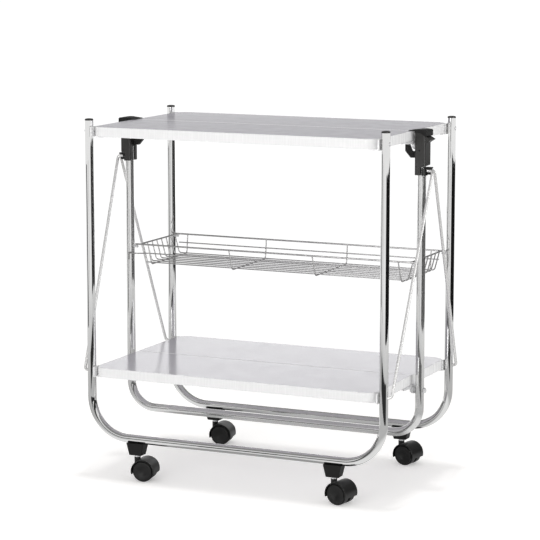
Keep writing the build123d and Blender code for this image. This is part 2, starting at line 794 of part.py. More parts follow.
# Twin-wheel casters, each made about its own swivel axis
def caster(side, facing, corner):
    """Hood, stem and wheel pair of one caster, which trails towards the right."""
    turn = radians(-side * caster_yaw)
    stand = Plane(
        origin=(side * caster_x, facing * frame_y, 0),
        x_dir=(cos(turn), sin(turn), 0),
        z_dir=(0, 0, 1),
    )
    pocket_width = caster_width / 2
    with BuildPart(stand) as hood:
        with Locations((caster_trail, 0, wheel_radius)):
            Cylinder(hood_radius, caster_width, rotation=(90, 0, 0))
        fillet(hood.edges().filter_by(GeomType.CIRCLE), hood_rounding)
        with Locations((0, 0, hood_boss_bottom)):
            Cylinder(
                hood_boss_radius,
                hood_boss_top - hood_boss_bottom,
                align=(Align.CENTER, Align.CENTER, Align.MIN),
            )
        for cheek in (-1, 1):
            with Locations((caster_trail, cheek * (hood_web + pocket_width) / 2, wheel_radius)):
                Cylinder(hood_pocket_radius, pocket_width, rotation=(90, 0, 0), mode=Mode.SUBTRACT)
        with Locations((caster_trail, 0, hood_lip_height)):
            Box(
                3 * hood_radius,
                2 * caster_width,
                hood_radius,
                align=(Align.CENTER, Align.CENTER, Align.MAX),
                mode=Mode.SUBTRACT,
            )
        with Locations((caster_trail, 0, wheel_radius)):
            Cylinder(
                axle_diameter / 2 + running_clearance,
                caster_width,
                rotation=(90, 0, 0),
                mode=Mode.SUBTRACT,
            )
        with Locations((0, 0, stem_bottom)):
            Cylinder(
                stem_diameter / 2 + press_clearance,
                stem_top,
                align=(Align.CENTER, Align.CENTER, Align.MIN),
                mode=Mode.SUBTRACT,
            )
    save(hood, f"caster_hood_{corner}")

    with BuildPart(stand) as stem:
        with Locations((0, 0, stem_bottom)):
            Cylinder(
                stem_diameter / 2,
                stem_top - stem_bottom,
                align=(Align.CENTER, Align.CENTER, Align.MIN),
            )
        with Locations((0, 0, hood_boss_top)):
            Cylinder(
                stem_collar_diameter / 2,
                stem_collar_height,
                align=(Align.CENTER, Align.CENTER, Align.MIN),
            )
    save(stem, f"caster_stem_{corner}")

    wheel_start = hood_web / 2 + part_gap
    with BuildPart(stand) as wheels:
        for cheek in (-1, 1):
            with Locations((caster_trail, cheek * (wheel_start + wheel_width / 2), wheel_radius)):
                Cylinder(wheel_radius, wheel_width, rotation=(90, 0, 0))
        fillet(wheels.edges().filter_by(GeomType.CIRCLE), wheel_edge_rounding)
        with Locations((caster_trail, 0, wheel_radius)):
            Cylinder(
                axle_diameter / 2 + press_clearance,
                axle_length,
                rotation=(90, 0, 0),
                mode=Mode.SUBTRACT,
            )
            Cylinder(axle_diameter / 2, axle_length - part_gap, rotation=(90, 0, 0))
    save(wheels, f"caster_wheels_{corner}")


for side_name, side in sides.items():
    for end, facing in facings.items():
        caster(side, facing, f"{end}_{side_name}")


# Wire basket, behind the middle frame
def cross_wire_places():
    """Positions across the basket of the wires that run from front to back."""
    half_span = cross_wire_pitch * (cross_wire_count - 1) / 2
    return [index * cross_wire_pitch - half_span for index in range(cross_wire_count)]


with BuildPart() as basket_rim:
    with BuildLine(Plane.XY.offset(rim_height)) as rim_route:
        FilletPolyline(
            (-rim_half_length, 0),
            (rim_half_length, 0),
            (rim_half_length, rim_back),
            (-rim_half_length, rim_back),
            radius=rim_corner_radius,
            close=True,
        )
    with BuildSketch(Plane(origin=rim_route.line @ 0, z_dir=rim_route.line % 0)):
        Circle(rim_wire / 2)
    sweep()
    for side in (-1, 1):
        stub_start = side * (rim_half_length - rim_corner_radius)
        rod_x(rim_wire / 2, stub_start, side * rim_front_stub, 0, rim_height)
        rod_x(rim_wire / 2, stub_start, side * rim_back_stub, rim_back, rim_height)
save(basket_rim, "basket_rim")

with BuildPart() as basket_wires:
    wire_radius = basket_wire / 2
    for index in range(long_wire_count):
        wire_y = long_wire_start + index * long_wire_pitch
        with BuildLine(Plane.XZ.offset(-wire_y)) as long_route:
            FilletPolyline(
                (-rim_half_length, rim_height),
                (-basket_floor_half_length, basket_floor_height),
                (basket_floor_half_length, basket_floor_height),
                (rim_half_length, rim_height),
                radius=basket_bend_radius,
            )
        with BuildSketch(Plane(origin=long_route.line @ 0, z_dir=long_route.line % 0)):
            Circle(wire_radius)
        sweep()
    cross_floor = basket_floor_height - basket_wire + weld_sink
    for wire_x in cross_wire_places():
        with BuildLine() as cross_route:
            FilletPolyline(
                (wire_x - cross_wire_lean / 2, 0, rim_height),
                (wire_x + cross_wire_lean / 2, cross_wire_front, cross_floor),
                (wire_x, cross_wire_back, cross_floor),
                (wire_x, rim_back, rim_height),
                radius=basket_bend_radius,
            )
        with BuildSketch(Plane(origin=cross_route.line @ 0, z_dir=cross_route.line % 0)):
            Circle(wire_radius)
        sweep()
    front_wire_y = side_wire_share * cross_wire_front - basket_wire + weld_sink
    with BuildLine(Plane.XY.offset(side_wire_height)) as hook_route:
        FilletPolyline(
            (side_wire_half_length, front_wire_y),
            (hook_bend_length - rim_half_length, front_wire_y),
            (-rim_half_length, -hook_front),
            (-hook_reach, -hook_front),
            radius=basket_bend_radius,
        )
    with BuildSketch(Plane(origin=hook_route.line @ 0, z_dir=hook_route.line % 0)):
        Circle(wire_radius)
    sweep()
    with Locations((-hook_reach, -hook_front, side_wire_height)):
        Sphere(wire_radius)
        Cylinder(wire_radius, hook_drop, align=(Align.CENTER, Align.CENTER, Align.MAX))
    back_wire_y = rim_back - side_wire_share * cross_wire_back_lean - basket_wire + weld_sink
    rod_x(wire_radius, -side_wire_half_length, side_wire_half_length, back_wire_y, side_wire_height)
save(basket_wires, "basket_wires")

with BuildPart() as middle_basket_studs:
    stud_end = middle_x - tube_radius
    rod_x(stud_diameter / 2, stud_end - stud_reach, stud_end, 0, stud_height)
    rod_x(stud_tenon_diameter / 2, stud_end - stud_reach, middle_x - tube_radius / 2, 0, stud_height)
    mirror(about=Plane.YZ)
save(middle_basket_studs, "middle_basket_studs")

with BuildPart() as back_basket_studs:
    back_stud_y = frame_y - stud_back_offset
    post_face = outer_x - tube_radius
    rod_x(stud_diameter / 2, post_face - stud_reach, outer_x, back_stud_y, stud_height)
    with Locations((outer_x, frame_y, stud_height)):
        Cylinder(tube_radius, tube_diameter, mode=Mode.SUBTRACT)
    mirror(about=Plane.YZ)
save(back_basket_studs, "back_basket_studs")
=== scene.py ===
import json
import math

import bmesh
import bpy
from mathutils import Matrix, Vector

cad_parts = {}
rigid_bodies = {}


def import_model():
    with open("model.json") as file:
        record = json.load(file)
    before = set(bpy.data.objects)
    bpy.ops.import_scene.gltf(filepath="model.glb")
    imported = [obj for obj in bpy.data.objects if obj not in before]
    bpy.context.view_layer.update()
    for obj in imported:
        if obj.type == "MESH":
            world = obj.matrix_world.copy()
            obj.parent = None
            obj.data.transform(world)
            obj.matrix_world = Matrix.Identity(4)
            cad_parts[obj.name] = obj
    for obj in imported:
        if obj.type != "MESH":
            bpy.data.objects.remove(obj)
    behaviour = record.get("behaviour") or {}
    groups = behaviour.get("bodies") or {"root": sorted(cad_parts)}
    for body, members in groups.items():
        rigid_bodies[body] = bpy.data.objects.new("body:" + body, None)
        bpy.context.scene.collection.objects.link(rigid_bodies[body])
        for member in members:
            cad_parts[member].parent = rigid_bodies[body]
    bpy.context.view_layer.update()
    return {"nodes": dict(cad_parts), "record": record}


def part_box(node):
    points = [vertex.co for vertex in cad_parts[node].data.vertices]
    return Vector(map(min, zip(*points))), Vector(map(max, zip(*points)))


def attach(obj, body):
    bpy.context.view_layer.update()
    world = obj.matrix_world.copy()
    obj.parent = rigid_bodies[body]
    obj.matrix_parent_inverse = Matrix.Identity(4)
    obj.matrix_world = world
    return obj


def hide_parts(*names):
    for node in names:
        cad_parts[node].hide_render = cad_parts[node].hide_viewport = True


bl_info = {
    "name": "Folding kitchen trolley",
    "version": (1, 0, 0),
    "blender": (4, 5, 0),
    "location": "View3D > Sidebar > Trolley",
    "description": "Dresses a folding kitchen trolley with chrome, laminate and plastic, and sets up its studio",
    "category": "Add Mesh",
}

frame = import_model()
BEHAVIOUR = frame["record"]["behaviour"]
BODIES = {node: body for body, nodes in BEHAVIOUR["bodies"].items() for node in nodes}
SLOTS = {row["node"]: row["material_slot"] for row in frame["record"]["subparts"]}
JOINTS = {joint["name"]: joint for joint in BEHAVIOUR["joints"]}
LEVELS = ("top", "lower")
ENDS = ("front", "back")
SIDES = ("left", "right")

# The finish of CAD nodes that don't take their slot's own, by how the node's name starts
LOOKS = {
    # The lever pins are painted near black: painted shade for the recess they sit in
    "lever_pins": "dark_pin",
    "stay_": "stay_steel",
    # The middle frame takes a copy of the chrome that is one fifth matt: painted light that makes its posts read
    # lighter
    "middle_frame": "middle_chrome",
}

# Lamps round the trolley: degrees from the camera, height, distance, width and height in metres, and watts
LAMPS = {
    "above": (0.0, 8.0, 0.0, (0.4, 0.4), 130.0),
    "key": (-30.0, 0.8, 3.0, (1.8, 1.2), 29.0),
    "side": (68.0, 0.5, 2.6, (2.6, 1.0), 20.0),
    "edge": (38.0, 0.9, 2.5, (0.8, 1.4), 60.0),
}
LAMP_AIM = Vector((0.0, 0.0, 0.33))

# Screens seen only in reflections, where they paint dark and pale reflections: from and to in degrees from the camera,
# foot, top, radius in metres, and brightness
SCREENS = {
    "dark_right": (23.0, 138.0, 0.001, 0.42, 1.9, 0.01),
    "dark_left": (-96.0, -72.0, 0.001, 0.42, 1.9, 0.02),
    "grey_left": (-44.0, -38.0, 0.001, 0.42, 1.9, 0.3),
    "dark_front": (-75.0, 75.0, 0.36, 1.3, 4.6, 0.03),
    "dark_skirt": (-50.0, 50.0, 0.001, 0.09, 1.0, 0.03),
    "pale_back": (150.0, 210.0, 0.25, 0.78, 2.0, 1.6),
    "pale_front": (-70.0, 70.0, 1.45, 3.3, 4.6, 0.85),
}

# The floor as the chrome mirrors it, a glow in rings of painted light and shade seen only in reflections: metres from
# the middle, and brightness
FLOOR_REACH = 3.0
FLOOR_PAINTED_REFLECTION = (
    (0.0, 0.5), (0.15, 0.5), (0.195, 0.34), (0.255, 0.34), (0.3, 0.86), (0.45, 0.86),
    (0.57, 0.5), (1.2, 0.56), (2.4, 0.93),
)
WHITE = (1.0, 1.0, 1.0)


# Settings

class TrolleyFinishes(bpy.types.PropertyGroup):
    """Colours of the trolley's finishes"""

    chrome: bpy.props.FloatVectorProperty(
        name="Chrome", description="Colour of the chromed tubes", subtype="COLOR", size=3, default=(0.83, 0.83, 0.825)
    )
    # The wires' colour is darker than the tubes' chrome: painted shade in place of the darker reflections that the thin
    # wires show
    wire: bpy.props.FloatVectorProperty(
        name="Wire", description="Colour of the chromed wires", subtype="COLOR", size=3, default=(0.54, 0.535, 0.53)
    )
    # The laminate's colour is greyer and more lavender than the band's white: painted shade on the shelf faces and a
    # painted lavender reflection
    laminate: bpy.props.FloatVectorProperty(
        name="Laminate", description="Colour of the shelves' gloss faces", subtype="COLOR", size=3,
        default=(0.665, 0.65, 0.70),
    )
    edging: bpy.props.FloatVectorProperty(
        name="Edging", description="Colour of the shelves' edge bands", subtype="COLOR", size=3,
        default=(0.86, 0.86, 0.865),
    )
    plastic: bpy.props.FloatVectorProperty(
        name="Plastic", description="Colour of the housings and post caps", subtype="COLOR", size=3,
        default=(0.028, 0.0273, 0.026),
    )
    # The hoods take this colour 1.25 times lighter: painted light in place of the side lamp's, which spares the
    # plastics
    socket: bpy.props.FloatVectorProperty(
        name="Socket", description="Colour of the blacker fittings, sockets and hoods", subtype="COLOR", size=3,
        default=(0.010, 0.0098, 0.0095),
    )
    wheel: bpy.props.FloatVectorProperty(
        name="Wheel", description="Colour of the caster wheels", subtype="COLOR", size=3,
        default=(0.009, 0.0088, 0.0086),
    )
    zinc: bpy.props.FloatVectorProperty(
        name="Zinc", description="Colour of the plated brackets", subtype="COLOR", size=3, default=(0.82, 0.82, 0.83)
    )
    stay: bpy.props.FloatVectorProperty(
        name="Stay", description="Colour of the bent-rod stays", subtype="COLOR", size=3, default=(0.72, 0.715, 0.71)
    )


class TrolleyEdges(bpy.types.PropertyGroup):
    """Roundings of the trolley's edges"""

    shelf: bpy.props.FloatProperty(
        name="Shelf", description="Rounding of the edge band", unit="LENGTH", default=0.0007, min=0.0
    )
    seam: bpy.props.FloatProperty(
        name="Seam", description="Chamfer where the laminate meets its band", unit="LENGTH", default=0.00012, min=0.0
    )
    moulding: bpy.props.FloatProperty(
        name="Moulding", description="Rounding of the moulded fittings", unit="LENGTH", default=0.0007, min=0.0
    )
    pressing: bpy.props.FloatProperty(
        name="Pressing", description="Rounding of the pressed steel brackets", unit="LENGTH", default=0.0003, min=0.0
    )


class TrolleyCasters(bpy.types.PropertyGroup):
    """Sizes of the twin wheels"""

    radius: bpy.props.FloatProperty(
        name="Radius", description="Radius of a wheel", unit="LENGTH", default=0.020
    )
    face: bpy.props.FloatProperty(
        name="Face", description="From the middle of the pair to a wheel's outer face", unit="LENGTH", default=0.0198
    )
    web: bpy.props.FloatProperty(
        name="Web", description="From the middle of the pair to a wheel's inner face", unit="LENGTH", default=0.0028
    )
    axle: bpy.props.FloatProperty(
        name="Axle", description="Radius of the axle", unit="LENGTH", default=0.003
    )
    rounding: bpy.props.FloatProperty(
        name="Rounding", description="Rounding of the tread's edges", unit="LENGTH", default=0.001
    )
    step: bpy.props.FloatProperty(
        name="Step", description="How far a wheel's face stands out from its tread", unit="LENGTH", default=0.004
    )
    hood_rounding: bpy.props.FloatProperty(
        name="Hood rounding", description="Rounding of the hood's rims", unit="LENGTH", default=0.00072
    )


class TrolleyBasket(bpy.types.PropertyGroup):
    """Layout of the wire basket"""

    long_count: bpy.props.IntProperty(
        name="Long wires", description="Number of wires that run along the basket", default=8
    )
    long_start: bpy.props.FloatProperty(
        name="First long wire", description="Its distance behind the middle frame", unit="LENGTH", default=0.012
    )
    long_end: bpy.props.FloatProperty(
        name="Last long wire", description="Its distance behind the middle frame", unit="LENGTH", default=0.1485
    )
    cross_count: bpy.props.IntProperty(
        name="Cross wires", description="Number of wires that run from front to back", default=4
    )
    cross_pitch: bpy.props.FloatProperty(
        name="Cross wire pitch", description="Distance between the cross wires", unit="LENGTH", default=0.172
    )
    cross_lean: bpy.props.FloatProperty(
        name="Cross wire lean", description="How far a cross wire leans at the front", unit="LENGTH", default=0.006
    )
    rim_half: bpy.props.FloatProperty(
        name="Rim half length", description="From the middle to the wire at the rim's end", unit="LENGTH",
        default=0.2795,
    )
    wire: bpy.props.FloatProperty(
        name="Wire", description="Diameter of the basket's wires", unit="LENGTH", default=0.0024
    )
    rim: bpy.props.FloatProperty(
        name="Rim", description="Diameter of the rim's wire", unit="LENGTH", default=0.0032
    )


class TrolleyStudio(bpy.types.PropertyGroup):
    """Camera and lights of the studio"""

    lens: bpy.props.FloatProperty(
        name="Lens", description="Focal length on a 36 mm sensor, in millimetres", default=150.99
    )
    azimuth: bpy.props.FloatProperty(
        name="Azimuth", description="How far the camera stands round to the right", unit="ROTATION",
        default=math.radians(24.788),
    )
    elevation: bpy.props.FloatProperty(
        name="Elevation", description="How far the camera looks down", unit="ROTATION", default=math.radians(8.904)
    )
    distance: bpy.props.FloatProperty(
        name="Distance", description="From the camera to its target", unit="LENGTH", default=4.2529
    )
    target: bpy.props.FloatVectorProperty(
        name="Target", description="Point at the middle of the picture", subtype="XYZ", size=3,
        default=(-0.0031, 0.0, 0.3868),
    )
    sky: bpy.props.FloatProperty(
        name="Sky", description="Strength of the light from all round", default=0.55, min=0.0
    )
    mirrored_sky: bpy.props.FloatProperty(
        name="Mirrored sky", description="Its strength in reflections", default=0.27, min=0.0
    )


# Shader maths

class Wire:
    """A socket in a finish. Arithmetic on it adds Math nodes."""

    def __init__(self, finish, socket):
        self.finish = finish
        self.socket = socket

    def maths(self, operation, first, second):
        return self.finish.node("ShaderNodeMath", {"operation": operation}, {0: first, 1: second})

    def __add__(self, other):
        return self.maths("ADD", self, other)

    def __radd__(self, other):
        return self.maths("ADD", other, self)

    def __mul__(self, other):
        return self.maths("MULTIPLY", self, other)

    def __rmul__(self, other):
        return self.maths("MULTIPLY", other, self)

    def __truediv__(self, other):
        return self.maths("DIVIDE", self, other)

    def __rtruediv__(self, other):
        return self.maths("DIVIDE", other, self)


class Finish:
    """A node tree in the making, with one way to add a node."""

    def __init__(self, owner):
        self.owner = owner
        owner.use_nodes = True
        self.tree = owner.node_tree

    def node(self, kind, settings=None, inputs=None, output=0):
        made = self.tree.nodes.new(kind)
        for name, value in (settings or {}).items():
            if name == "stops":
                ramp = made.color_ramp
                while len(ramp.elements) < len(value):
                    ramp.elements.new(1.0)
                for stop, (position, tone) in zip(ramp.elements, value):
                    stop.position = position
                    stop.color = (tone, tone, tone, 1.0)
            else:
                setattr(made, name, value)
        for name, value in (inputs or {}).items():
            self.plug(made.inputs[name], value)
        return Wire(self, made.outputs[output])

    def plug(self, socket, value):
        if isinstance(value, Wire):
            self.tree.links.new(value.socket, socket)
        elif hasattr(value, "__len__") and len(value) == 3 and len(socket.default_value) == 4:
            socket.default_value = (*value, 1.0)
        else:
            socket.default_value = value

    def place(self, stretch=(1.0, 1.0, 1.0)):
        """Object coordinates, stretched."""
        raw = self.node("ShaderNodeTexCoord", output=3)
        return self.node("ShaderNodeMapping", {}, {"Vector": raw, "Scale": stretch})

    def noise(self, scale, detail, rough, stretch=(1.0, 1.0, 1.0)):
        """A noise value, 0 to 1, on Object coordinates."""
        inputs = {"Vector": self.place(stretch), "Scale": scale, "Detail": detail, "Roughness": rough}
        return self.node("ShaderNodeTexNoise", {}, inputs)

    def between(self, value, low, high, start, end):
        """Maps value from low..high to start..end, kept inside."""
        inputs = {"Value": value, "From Min": low, "From Max": high, "To Min": start, "To Max": end}
        return self.node("ShaderNodeMapRange", {"clamp": True}, inputs)

    def tint(self, share, first, second):
        """A colour between two."""
        inputs = {0: share, 6: first, 7: second}
        return self.node("ShaderNodeMix", {"data_type": "RGBA"}, inputs, 2)

    def bump(self, height, strength, depth):
        """A normal bent by a height."""
        return self.node("ShaderNodeBump", {}, {"Height": height, "Strength": strength, "Distance": depth})

    def surface(self, **inputs):
        """Sets the Principled shader's sockets, named with underscores for spaces."""
        shader = self.tree.nodes["Principled BSDF"]
        for name, value in inputs.items():
            self.plug(shader.inputs[name.replace("_", " ")], value)

    def glow(self, colour, strength):
        """A shader that gives its own light."""
        return self.node("ShaderNodeEmission", {}, {"Color": colour, "Strength": strength})

    def rays(self):
        """Whether a ray comes from the camera, and whether from a reflection."""
        path = self.tree.nodes.new("ShaderNodeLightPath")
        return Wire(self, path.outputs["Is Camera Ray"]), Wire(self, path.outputs["Is Glossy Ray"])

    def show(self, shader):
        """Makes a shader the whole surface."""
        self.tree.nodes.remove(self.tree.nodes["Principled BSDF"])
        self.plug(self.tree.nodes["Material Output"].inputs["Surface"], shader)


def shade(colour, factor):
    """A colour made lighter or darker."""
    return tuple(min(1.0, channel * factor) for channel in colour)


# Finishes

def chrome_finish(name, colour, rough, ripple, metal=1.0):
    """Polished chrome plate: faint smudges, fine haze and the slight ripple of buffed steel."""
    finish = Finish(bpy.data.materials.new(name))
    smudge = finish.noise(9.0, 4.0, 0.6)
    haze = finish.noise(140.0, 3.0, 0.6)
    peel = finish.noise(70.0, 1.0, 0.4)
    finish.surface(
        Base_Color=finish.tint(finish.between(smudge, 0.35, 0.7, 0.0, 1.0), shade(colour, 0.95), shade(colour, 1.04)),
        Metallic=metal,
        Roughness=finish.between(smudge * 0.6 + haze * 0.4, 0.35, 0.65, rough * 0.7, rough * 1.5),
        Normal=finish.bump(peel, ripple, 0.0002),
    )
    return finish.owner


def plated_steel(name, colour, rough, metal=0.55):
    """Zinc-plated or turned steel: brushed streaks over a crystalline mottle."""
    finish = Finish(bpy.data.materials.new(name))
    grain = finish.noise(60.0, 3.0, 0.6, (1.0, 12.0, 12.0))
    mottle = finish.noise(240.0, 2.0, 0.7)
    finish.surface(
        Base_Color=finish.tint(mottle, shade(colour, 0.82), shade(colour, 1.08)),
        Metallic=metal,
        Roughness=finish.between(grain, 0.3, 0.7, rough * 0.75, rough * 1.3),
        Normal=finish.bump(grain * 0.7 + mottle * 0.3, 0.12, 0.0001),
    )
    return finish.owner


def gloss_laminate(name, colour):
    """Gloss white laminate: a clear film with faint orange peel, and board fibre just showing under it."""
    finish = Finish(bpy.data.materials.new(name))
    cloud = finish.noise(4.0, 3.0, 0.5)
    peel = finish.noise(260.0, 2.0, 0.5)
    fibre = finish.noise(35.0, 4.0, 0.6)
    finish.surface(
        # The given colour carries painted shade and a painted lavender reflection: the faces come out greyer and more
        # lavender than the white edge band
        Base_Color=finish.tint(cloud, shade(colour, 0.985), shade(colour, 1.015)),
        Roughness=finish.between(fibre, 0.3, 0.7, 0.14, 0.22),
        Normal=finish.bump(peel * 0.4 + fibre * 0.6, 0.05, 0.0002),
        Specular_IOR_Level=0.35,
    )
    return finish.owner


def edge_band(name, colour):
    """Gloss edge band with fine cutter marks across it."""
    finish = Finish(bpy.data.materials.new(name))
    marks = finish.noise(120.0, 2.0, 0.5, (6.0, 6.0, 0.15))
    cloud = finish.noise(12.0, 2.0, 0.5)
    finish.surface(
        Base_Color=finish.tint(cloud, shade(colour, 0.98), shade(colour, 1.02)),
        Roughness=finish.between(marks, 0.3, 0.7, 0.25, 0.29),
        Normal=finish.bump(marks, 0.005, 0.0002),
        Specular_IOR_Level=0.4,
    )
    return finish.owner


def moulded_plastic(name, colour, rough, grain_size, gloss=0.3):
    """Injection-moulded plastic with a fine spark-eroded grain and slight sheen variation."""
    finish = Finish(bpy.data.materials.new(name))
    grain = finish.noise(grain_size, 2.0, 0.55)
    flow = finish.noise(30.0, 3.0, 0.6)
    finish.surface(
        Base_Color=finish.tint(flow, shade(colour, 0.85), shade(colour, 1.2)),
        Roughness=finish.between(flow * 0.5 + grain * 0.5, 0.3, 0.7, rough * 0.85, rough * 1.15),
        Normal=finish.bump(grain, 0.16, 0.0002),
        Specular_IOR_Level=gloss,
    )
    return finish.owner


FINISHES = {}


def finish_of(look):
    """The material of a slot of the record or of another look, made once."""
    if look not in FINISHES:
        colours = bpy.context.scene.trolley_finishes
        makers = {
            "chrome_tube": lambda: chrome_finish("polished_chrome", colours.chrome, 0.035, 0.006),
            # The wires' chrome is the tubes' chrome painted darker: painted shade
            "chrome_wire": lambda: chrome_finish("chromed_wire", colours.wire, 0.14, 0.1),
            "stay_steel": lambda: chrome_finish("stay_steel", shade(colours.stay, 1.15), 0.24, 0.0, 0.55),
            "bright_steel": lambda: plated_steel("bright_steel", shade(colours.zinc, 1.05), 0.22),
            # Pale and mostly matt, so the brackets read light in the shade under the shelves: partly painted light over
            # the zinc plate's own colour
            "plated_bracket": lambda: plated_steel("plated_steel", colours.zinc, 0.38, 0.25),
            "screw_steel": lambda: plated_steel("screw_steel", shade(colours.zinc, 0.9), 0.3),
            "white_board": lambda: gloss_laminate("gloss_laminate", colours.laminate),
            "white_edge": lambda: edge_band("gloss_edge_band", colours.edging),
            "black_plastic": lambda: moulded_plastic("moulded_plastic", colours.plastic, 0.38, 900.0),
            # The hoods are the socket plastic made 1.25 times lighter: painted light in place of the side lamp's, which
            # spares the plastics
            "hood_plastic": lambda: moulded_plastic("hood_plastic", shade(colours.socket, 1.25), 0.4, 900.0),
            # A copy of the polished chrome, one fifth matt: painted light on the middle frame
            "middle_chrome": lambda: chrome_finish("middle_chrome", colours.chrome, 0.035, 0.006, 0.8),
            "socket_plastic": lambda: moulded_plastic("socket_plastic", colours.socket, 0.46, 900.0, 0.2),
            # Near white and nearly matt: painted reflection, standing in for the white surroundings that the plated
            # plates mirror
            "pivot_plate": lambda: plated_steel("pivot_plate", shade(colours.zinc, 1.14), 0.36, 0.1),
            # Near black: painted shade for the recess round the lever pin
            "dark_pin": lambda: plated_steel("dark_pin", colours.socket, 0.5),
            "wheel_plastic": lambda: moulded_plastic("wheel_nylon", colours.wheel, 0.5, 1400.0),
        }
        FINISHES[look] = makers[look]()
    return FINISHES[look]


def dress(piece, slot, look=None):
    """Gives a piece its slot's finish, or another look of the same slot."""
    piece.data.materials.clear()
    piece.data.materials.append(finish_of(look or slot))


# Shapes

def settle(shape, name, slot, body, nodes=(), sharp=38.0):
    """Turns a bmesh into a piece that rides on a body and may stand for CAD nodes."""
    mesh = bpy.data.meshes.new(name)
    shape.to_mesh(mesh)
    shape.free()
    mesh.shade_smooth()
    mesh.set_sharp_from_angle(angle=math.radians(sharp))
    piece = bpy.data.objects.new(name, mesh)
    bpy.context.scene.collection.objects.link(piece)
    dress(piece, slot)
    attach(piece, body)
    if nodes:
        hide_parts(*nodes)
    return piece


def copy_of(node):
    """A CAD node's surface, welded, with its flat faces whole."""
    shape = bmesh.new()
    shape.from_mesh(frame["nodes"][node].data)
    weld, flat = 2e-6, math.radians(0.5)
    bmesh.ops.remove_doubles(shape, verts=shape.verts, dist=weld)
    bmesh.ops.dissolve_limit(shape, angle_limit=flat, verts=shape.verts, edges=shape.edges)
    return shape


def crisp(edge, limit=math.radians(40.0)):
    """Whether an edge is a real corner and not a facet of a round face."""
    return len(edge.link_faces) == 2 and edge.calc_face_angle(0.0) > limit


def refine(node, width, segments=3, reshape=None, rounded=crisp):
    """A piece in the place of a CAD node, with its corners rounded and its flat faces kept flat."""
    shape = copy_of(node)
    if reshape:
        reshape(shape)
    bmesh.ops.bevel(
        shape, geom=[edge for edge in shape.edges if rounded(edge)], offset=width, offset_type="OFFSET",
        affect="EDGES", segments=segments, profile=0.5, material=-1, clamp_overlap=True,
    )
    piece = settle(shape, node + ".dressed", SLOTS[node], BODIES[node], (node,))
    piece.modifiers.new("flat_faces", "WEIGHTED_NORMAL").keep_sharp = True
    return piece


def lathe(profile, steps):
    """A round solid about Z from (radius, height) points that start and end on the axis."""
    shape = bmesh.new()
    points = [shape.verts.new((radius, 0.0, height)) for radius, height in profile]
    edges = [shape.edges.new(pair) for pair in zip(points, points[1:])]
    bmesh.ops.spin(
        shape, geom=points + edges, cent=(0, 0, 0), axis=(0, 0, 1), angle=math.tau, steps=steps, use_merge=True
    )
    bmesh.ops.remove_doubles(shape, verts=shape.verts, dist=1e-6)
    bmesh.ops.recalc_face_normals(shape, faces=shape.faces)
    return shape


def place(shape, centre, axis=(0.0, 0.0, 1.0)):
    """Moves a shape that was made about Z to a centre, with Z turned to an axis."""
    turn = Vector((0.0, 0.0, 1.0)).rotation_difference(Vector(axis)).to_matrix().to_4x4()
    bmesh.ops.transform(shape, matrix=Matrix.Translation(centre) @ turn, verts=shape.verts)
    return shape


def gather(shapes):
    """Several shapes in one."""
    whole = bmesh.new()
    for one in shapes:
        mesh = bpy.data.meshes.new("part")
        one.to_mesh(mesh)
        one.free()
        whole.from_mesh(mesh)
        bpy.data.meshes.remove(mesh)
    return whole


def islands(node):
    """The lowest and highest corners of each loose part of a CAD node."""
    shape = copy_of(node)
    left = set(shape.verts)
    boxes = []
    while left:
        ring = {left.pop()}
        found = set(ring)
        while ring:
            ring = {edge.other_vert(vert) for vert in ring for edge in vert.link_edges} - found
            found |= ring
        left -= found
        low = Vector([min(vert.co[axis] for vert in found) for axis in range(3)])
        high = Vector([max(vert.co[axis] for vert in found) for axis in range(3)])
        boxes.append((low, high))
    shape.free()
    return boxes


def arc(centre, radius, start, end, steps):
    """Points of an arc in a lathe's profile, with angles in degrees."""
    return [
        (
            centre[0] + radius * math.cos(math.radians(start + (end - start) * step / steps)),
            centre[1] + radius * math.sin(math.radians(start + (end - start) * step / steps)),
        )
        for step in range(steps + 1)
    ]


# Operators

class TROLLEY_OT_shelves(bpy.types.Operator):
    """Make the shelf boards and their edge bands, with rounded edges and a hairline where they meet"""

    bl_idname = "trolley.shelves"
    bl_label = "Shelves"

    def execute(self, context):
        edges = context.scene.trolley_edges
        for level in LEVELS:
            for end in ENDS:
                refine(f"{level}_{end}_board", edges.seam, 1)
                self.band(f"{level}_{end}_edge_band", edges.shelf)
        return {"FINISHED"}

    def band(self, node, width):
        """An edge band whose outer corners are rounded."""
        low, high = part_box(node)
        centre = (low + high) / 2

        def outer(edge):
            if not crisp(edge):
                return False
            wall = min(edge.link_faces, key=lambda face: abs(face.normal.z))
            return wall.normal.dot(wall.calc_center_median() - centre) > 0

        refine(node, width, rounded=outer)


class TROLLEY_OT_post_caps(bpy.types.Operator):
    """Make the domed plastic caps on the outer posts"""

    bl_idname = "trolley.post_caps"
    bl_label = "Post caps"

    def execute(self, context):
        for end in ENDS:
            node = f"{end}_post_caps"
            caps = [self.cap(low, high) for low, high in islands(node)]
            settle(gather(caps), node + ".dressed", SLOTS[node], BODIES[node], (node,))
        return {"FINISHED"}

    def cap(self, low, high):
        """One cap: a skirt with a small step under it, a rounded shoulder and a shallow dome."""
        height, step, shoulder, dome = 0.0036, 0.0004, 0.0022, 0.0005
        top, base = high.z, high.z - height
        radius = (high.x - low.x) / 2
        profile = [(0.0, base), (radius - step, base), (radius - step, base + 0.0003), (radius, base + 0.0005)]
        profile += arc((radius - shoulder, top - shoulder - dome), shoulder, 0.0, 62.0, 5)
        profile += [(radius * 0.55, top - dome / 2), (radius * 0.25, top - dome / 10), (0.0, top)]
        return place(lathe(profile, 40), Vector(((low.x + high.x) / 2, (low.y + high.y) / 2, 0.0)))


